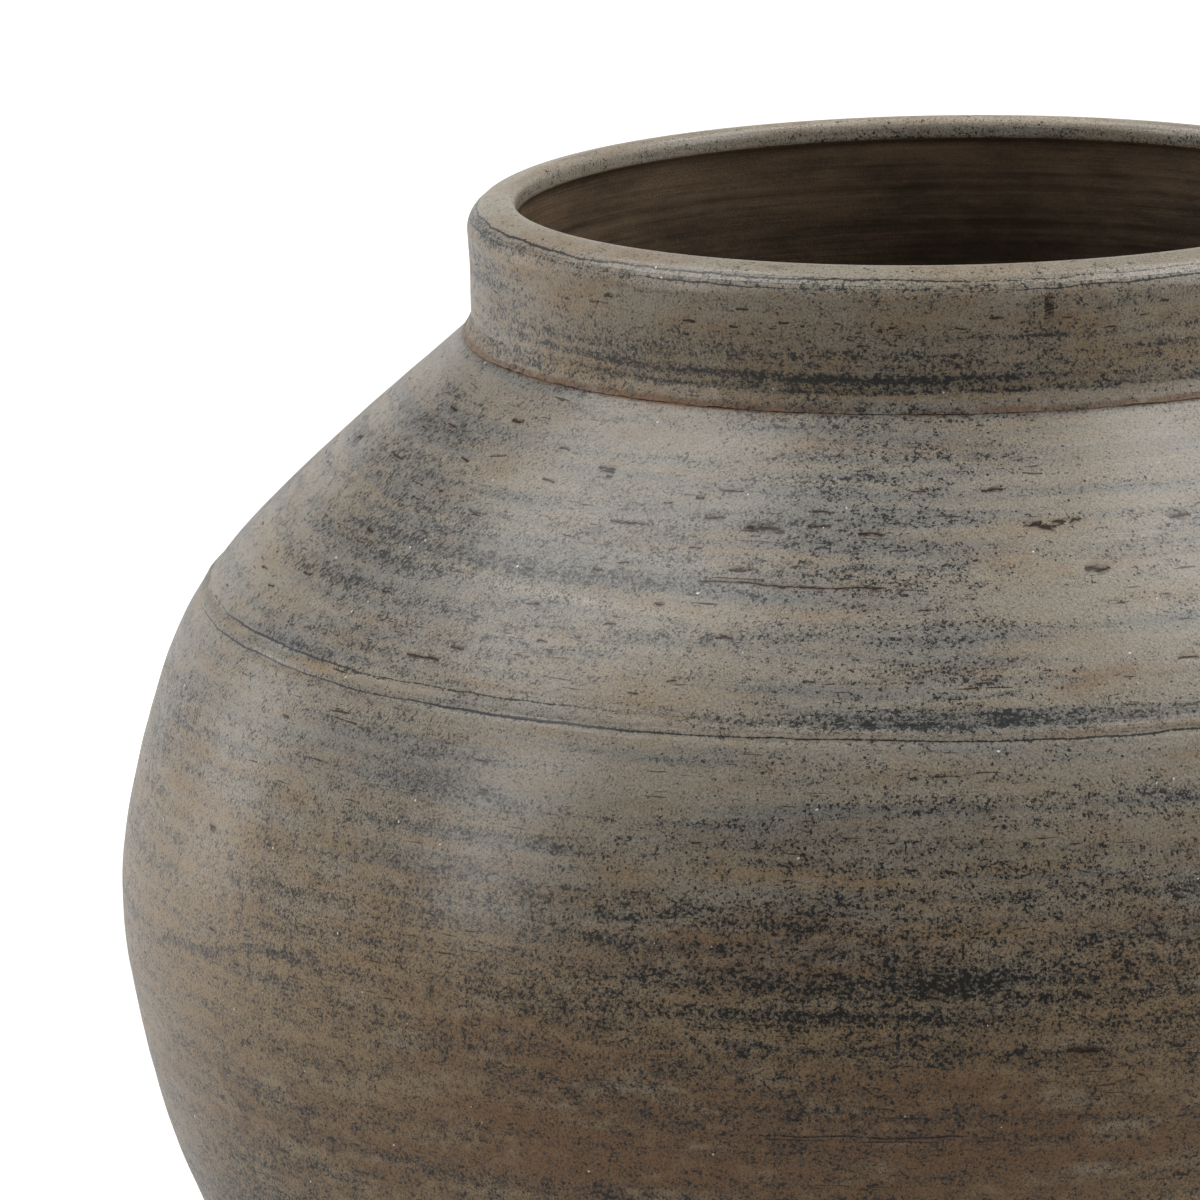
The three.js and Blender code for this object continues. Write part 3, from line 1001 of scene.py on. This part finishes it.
def outside_clay(name, coat):
    """Worn clay under a dark wash: specks, film, streaks, rust, chaff cracks, mica and a satin coat."""
    s = Surface(name)
    wash, band, worn, rust, pale = [s.attribute(name) for name in WASH_FIELDS]
    along_mark, above_mark, line_strength, above_line = [s.attribute(name) for name in MARK_FIELDS]
    mottle = s.noise(size=20, offset=1.0, flat=4.0, rough=0.55)
    clump = s.noise(size=3.4, offset=2.0, flat=1.5, detail=2.0, rough=0.5)
    fine = s.noise(size=0.85, offset=3.0, flat=1.2, rough=0.62)
    smear = s.noise(size=2.6, offset=15.0, flat=3.5, detail=5.0, rough=0.70)
    haze = s.noise(size=0.95, offset=16.0, detail=5.0, rough=0.74)
    streak = s.noise(size=48, offset=4.0, flat=18.0, detail=4.0, rough=0.62)
    brush = s.noise(size=90, offset=10.0, flat=26.0)
    grain = s.noise(size=0.42, offset=5.0, detail=2.0, rough=0.7)
    grit = s.noise(size=0.50, offset=9.0, detail=2.0, rough=0.8)
    scratch_field = s.noise(size=9, offset=6.0, flat=16.0, rough=0.55)
    scratch_patch = s.noise(size=22, offset=7.0, flat=2.5, detail=1.0, rough=0.5)
    mica_field = s.noise(size=1.1, offset=8.0, detail=0.0, rough=0.5)
    low_down = s.step(s.axis("Z"), *LOW_WALL_FADE)
    on_neck = s.step(s.axis("Z"), *NECK_FADE)
    on_lip = s.step(s.axis("Z"), *ON_LIP_FADE)

    # How much wash lies here, with streaks and clumps finer than the vertices carry
    streaky = s.sum(wash, s.swing(streak, 1.6))
    density = s.sum(streaky, s.swing(clump, 1.5))
    density = s.sum(density, s.times(low_down, 0.27))
    level = s.ramp(density, -0.185, 0.672)
    speck = s.step(fine, level, s.sum(level, 0.05))
    smear_level = s.sum(s.times(s.sum(band, s.times(s.sum(streak, -0.45), 1.2)), -0.22), 0.70)
    speck = s.math("MAXIMUM", speck, s.step(smear, smear_level, s.sum(smear_level, 0.04)))
    speck = s.math("MAXIMUM", speck, s.dots(1.0, fine, s.ramp(density, 0.30, 0.04)))
    speck = s.math("MAXIMUM", speck, s.dots(1.3, fine, s.ramp(density, 0.22, 0.02)))
    grit_level = s.sum(s.times(density, -0.10), s.ramp(low_down, -0.04, 0.61))
    gritting = s.times(s.step(grit, grit_level, s.sum(grit_level, 0.06)), 0.85)
    haze_level = s.ramp(density, -0.15, 0.60)
    faint = s.times(s.step(haze, haze_level, s.sum(haze_level, 0.08)), 0.42)
    hazy = s.sum(streaky, s.swing(brush, 2.6))
    bare = s.math("MAXIMUM", s.times(low_down, 0.8), s.times(on_neck, 0.7))
    film = s.times(s.step(hazy, 0.15, 1.0), s.ramp(bare, -1.0, 1.0))

    warmth = s.sum(mottle, s.sum(s.times(low_down, 0.42), s.times(on_neck, 0.15)))
    warmth = s.sum(warmth, s.times(on_lip, -0.22))
    warmth = s.step(warmth, 0.35, 0.95)
    ground_colour = s.blend(warmth, CLAY, CLAY_WARM)
    # Pale streaks, and the pale line along the shoulder band, which is partly a painted highlight
    colour = s.blend(s.times(pale, s.step(streak, 0.35, 0.6)), ground_colour, CLAY_PALE)
    rust_field = s.sum(s.sum(mottle, s.times(clump, 0.5)), s.times(rust, 0.22))
    rust_amount = s.times(rust, s.step(rust_field, 0.66, 0.98))
    colour = s.blend(rust_amount, colour, RUST)
    colour = s.blend(s.times(film, 0.6), colour, WASH_FILM)
    colour = s.shade(colour, s.ramp(grain, 1.8, 0.12))
    colour = s.blend(gritting, colour, GRIT)
    colour = s.blend(faint, colour, WASH_WORN)
    wash_colour = s.blend(low_down, WASH_DARK, WASH_BROWN)
    # Specks are fainter where the wash is worn, and on the left where painted sheen lightens them
    colour = s.blend(s.times(speck, s.ramp(worn, -0.36, 1.0)), colour, wash_colour)
    off_line = s.math("ABSOLUTE", above_line, 0.0)
    ragged = s.sum(s.math("SUBTRACT", line_strength, off_line), s.swing(fine, 2.0))
    colour = s.blend(s.times(s.step(ragged, 0.05, 0.3), 0.95), colour, WASH_DARK)

    # Short scratches everywhere, and the placed cracks: dark along the middle, ragged at the ends
    scratch = s.times(s.step(scratch_field, 0.665, 0.69), s.step(scratch_patch, 0.46, 0.56))
    scratch = s.times(scratch, s.ramp(on_neck, -0.7, 1.0))
    wander = s.swing(smear, 5.0)
    aside = s.math("ABSOLUTE", s.sum(above_mark, wander), 0.0)
    end = s.step(s.sum(along_mark, s.swing(fine, 1.2)), 0.25, 0.45)
    halo = s.times(s.step(aside, 1.8, 0.6), end)
    crack = s.times(s.step(aside, 0.62, 0.25), end)
    cut = s.math("MAXIMUM", s.times(scratch, 0.85), crack)
    colour = s.blend(s.times(halo, 0.5), colour, SLIP_DARK)
    colour = s.blend(cut, colour, CHAFF)
    colour = s.blend(s.step(mica_field, 0.885, 0.90), colour, MICA)
    s.give("Base Color", colour)

    gloss = s.ramp(grain, 0.22, 0.45)
    gloss = s.sum(gloss, s.times(speck, 0.06))
    s.give("Roughness", s.sum(gloss, s.times(cut, 0.3)))
    s.give("Specular IOR Level", BODY_SPECULAR)
    s.give("Coat Weight", coat)
    s.give("Coat Roughness", COAT_ROUGHNESS)
    relief = s.sum(s.times(grain, 0.5), s.times(speck, -0.25))
    relief = s.sum(relief, s.times(cut, -1.4))
    relief = s.sum(relief, s.times(streak, 0.8))
    s.bump(relief, 0.16)
    return s.material


def inside_clay():
    """Bare brown clay inside, darker in the throwing lines, with painted shade that darkens the neck's
    bore further down.
    """
    s = Surface("clay_inside")
    lines = s.noise(size=80, offset=11.0, flat=60.0, detail=9.0, rough=0.78)
    cloud = s.noise(size=20, offset=12.0, flat=3.0, detail=6.0, rough=0.70)
    fine = s.noise(size=1.1, offset=13.0, rough=0.65)
    grain = s.noise(size=0.5, offset=14.0, detail=2.0, rough=0.7)
    shade = s.sum(s.times(lines, 0.65), s.times(cloud, 0.75))
    # Painted shade: the neck's bore turns darker further down, standing in for the shadow inside the neck
    deep = s.step(s.axis("Z"), *NECK_BORE_SHADE_FADE)
    below_neck = s.step(s.axis("Z"), *BELOW_NECK_FADE)
    colour = s.blend(s.step(s.sum(shade, s.times(deep, -0.14)), 0.4, 0.95), INNER_DARK_LINES_AND_SHADE, INNER_CLAY)
    body_colour = s.blend(s.step(shade, 0.45, 0.95), INNER_CLAY, INNER_BODY)
    colour = s.blend(below_neck, colour, body_colour)
    colour = s.shade(colour, s.ramp(grain, 0.9, 0.55))
    colour = s.blend(s.times(s.step(fine, 0.62, 0.68), 0.7), colour, SLIP_DARK)
    s.give("Base Color", colour)
    s.give("Roughness", s.ramp(cloud, 0.3, 0.65))
    s.give("Specular IOR Level", BODY_SPECULAR)
    s.bump(s.sum(s.times(lines, 0.8), s.times(grain, 0.4)), 0.3)
    return s.material


def slip_clay():
    """Fired luting slip, matt and dark brown."""
    s = Surface("slip_fired")
    fine = s.noise(size=0.9, offset=21.0, detail=4.0, rough=0.65)
    cloud = s.noise(size=8, offset=22.0, detail=2.0, rough=0.5)
    colour = s.blend(s.step(s.sum(fine, s.times(cloud, 0.4)), 0.5, 0.85), SLIP_DARK, SLIP)
    s.give("Base Color", colour)
    s.give("Roughness", s.ramp(fine, 0.3, 0.6))
    s.bump(fine, 0.2)
    return s.material


clay = outside_clay("clay_washed", COAT_WEIGHT)
band_clay = outside_clay("clay_smeared", SMEARED_COAT_WEIGHT)
inner_clay = inside_clay()
slip = slip_clay()

dress(lower_wall(), "lower_wall", "clay", clay, inner_clay)
dress(shoulder_wall(), "shoulder_wall", "clay", clay, inner_clay)
dress(neck_collar(), "neck_collar", "clay", clay, inner_clay)
dress(seam_band(), "shoulder_seam_band", "band_clay", band_clay)
dress(neck_fillet(), "neck_fillet", "band_clay", band_clay)
dress(base_slab(), "base_slab", "clay", clay, inner_clay)
dress(corner_coil(), "base_corner_coil", "band_clay", inner_clay)
base_face = float(inner_radius(LOWER_FOOT)) + CLEARANCE
shoulder_slip = slip_ring("shoulder_slip_squeezed", SEAT, SHOULDER_FOOT, SKIRT_FACE,
                          float(outer_radius(SEAT)) - SHOULDER_SLIP_SHORT,
                          float(outer_radius(SHOULDER_FOOT)) - SHOULDER_SLIP_SHORT, SHOULDER_SLIP_SEED)
neck_slip = slip_ring("neck_slip_squeezed", NECK_SEAT, COLLAR_FOOT, MOUTH_RADIUS,
                      NECK_ROOT[1] - NECK_SLIP_SHORT, NECK_RADIUS + NECK_SLIP_PROUD, NECK_SLIP_SEED)
base_slip = slip_ring("base_slip_squeezed", LEDGE_TOP, LOWER_FOOT, base_face,
                      float(outer_radius(LEDGE_TOP)), float(outer_radius(LOWER_FOOT)), BASE_SLIP_SEED)
dress(shoulder_slip, "shoulder_slip_ring", "slip", slip)
dress(neck_slip, "neck_slip_ring", "slip", slip)
dress(base_slip, "base_slip_ring", "slip", slip)


# Camera at the photograph's viewing angle

CAMERA_DISTANCE = 1995.0
CAMERA_RISE = 344.56
CAMERA_PAN = math.radians(2.007)
CAMERA_TILT = math.radians(12.090)
CAMERA_ROLL = math.radians(-1.215)
CAMERA_LENS = 304.69
CAMERA_SENSOR = 36.0


def camera_like_photo():
    """The camera in front of the vase, panned, tilted and rolled."""
    data = bpy.data.cameras.new("camera")
    data.lens = CAMERA_LENS
    data.sensor_width = CAMERA_SENSOR
    camera = placed("camera", data)
    up = Vector((0, 0, 1))
    ahead = Vector((-math.sin(CAMERA_PAN), math.cos(CAMERA_PAN), 0))
    right = Vector((math.cos(CAMERA_PAN), math.sin(CAMERA_PAN), 0))
    look = ahead * math.cos(CAMERA_TILT) - up * math.sin(CAMERA_TILT)
    level_top = up * math.cos(CAMERA_TILT) + ahead * math.sin(CAMERA_TILT)
    side = right * math.cos(CAMERA_ROLL) + level_top * math.sin(CAMERA_ROLL)
    top = level_top * math.cos(CAMERA_ROLL) - right * math.sin(CAMERA_ROLL)
    turn = Matrix((side, top, -look)).transposed().to_4x4()
    place = Vector((0, -CAMERA_DISTANCE, RIM_TOP + CAMERA_RISE)) * MM
    camera.matrix_world = Matrix.Translation(place) @ turn
    bpy.context.scene.camera = camera


# Studio: soft lamps on both sides and above, a dim room and a white floor

TARGET = Vector((0, 0, 0.19))
# Lamps: name, direction from the vase, distance, width and height in metres, and watts
LAMPS = (
    ("top_left", (-0.51, 0.12, 0.85), 1.6, 0.95, 0.85, 13.4),
    ("top_right", (0.50, 0.06, 0.86), 1.6, 0.80, 0.80, 14.3),
    ("left_front", (-0.85, -0.38, 0.36), 1.6, 0.36, 0.85, 7.8),
    ("left_back", (-0.87, 0.46, 0.14), 1.8, 0.50, 0.80, 3.6),
    ("right_side", (0.88, -0.30, 0.38), 1.6, 0.60, 0.90, 10),
)
WHITE = (1, 1, 1, 1)
ROOM_LIGHT = 0.09
SKY_BEHIND = (0.55, 0.95)
SKY_LOW = (0.35, 0.15)
FLOOR_COLOUR = (0.54, 0.54, 0.53)
FLOOR_HALF = 9.0
FLOOR_NEAR_WHITE = 0.6
FLOOR_FAR_WHITE = 0.96
FLOOR_FADE = (0.3, 1.5)
FLOOR_BEHIND = (-0.1, 0.25)
FLOOR_MIRRORED_WHITE = 0.75


def softbox(name, direction, distance, width, height, watts):
    """An area lamp that faces the vase."""
    data = bpy.data.lights.new(name, "AREA")
    data.shape = "RECTANGLE"
    data.size = width
    data.size_y = height
    data.energy = watts
    lamp = placed(name, data)
    away = Vector(direction).normalized()
    turn = away.to_track_quat("Z", "Y").to_matrix().to_4x4()
    lamp.matrix_world = Matrix.Translation(TARGET + away * distance) @ turn


def studio():
    """The lamps, and a room that is white where it shows and dim as a light."""
    for lamp in LAMPS:
        softbox(*lamp)
    world = bpy.data.worlds.new("room")
    world.use_nodes = True
    background = world.node_tree.nodes["Background"]
    background.inputs["Color"].default_value = WHITE
    sky = Nodes(world.node_tree, "Generated")
    low_behind = sky.times(sky.step(sky.axis("Y"), *SKY_BEHIND), sky.step(sky.axis("Z"), *SKY_LOW))
    seen = sky.seen_white(low_behind)
    sky.feed(background.inputs["Strength"], sky.sum(sky.times(seen, 1 - ROOM_LIGHT), ROOM_LIGHT))
    bpy.context.scene.world = world


def floor():
    """The floor, white to the camera and grey as a light."""
    corners = [(-FLOOR_HALF, -FLOOR_HALF, 0), (FLOOR_HALF, -FLOOR_HALF, 0),
               (FLOOR_HALF, FLOOR_HALF, 0), (-FLOOR_HALF, FLOOR_HALF, 0)]
    mesh = bpy.data.meshes.new("floor")
    mesh.from_pydata(corners, [], [(0, 1, 2, 3)])
    ground = placed("floor", mesh)
    s = Surface("floor_paper")
    tooth = s.noise(size=6, offset=31.0, detail=2.0, rough=0.5)
    s.give("Base Color", FLOOR_COLOUR)
    s.give("Roughness", s.ramp(tooth, 0.1, 0.75))
    squares = s.sum(s.math("POWER", s.axis("X"), 2.0), s.math("POWER", s.axis("Y"), 2.0))
    away = s.step(s.math("SQRT", squares, 0.0), *FLOOR_FADE)
    white = s.sum(s.times(away, FLOOR_FAR_WHITE - FLOOR_NEAR_WHITE), FLOOR_NEAR_WHITE)
    mirrored = s.times(s.step(s.axis("Y"), *FLOOR_BEHIND), FLOOR_MIRRORED_WHITE)
    seen = s.seen_white(mirrored)
    s.give("Emission Color", WHITE)
    s.give("Emission Strength", s.times(seen, white))
    mesh.materials.append(s.material)


camera_like_photo()
studio()
floor()
bpy.context.scene.view_settings.view_transform = "Standard"
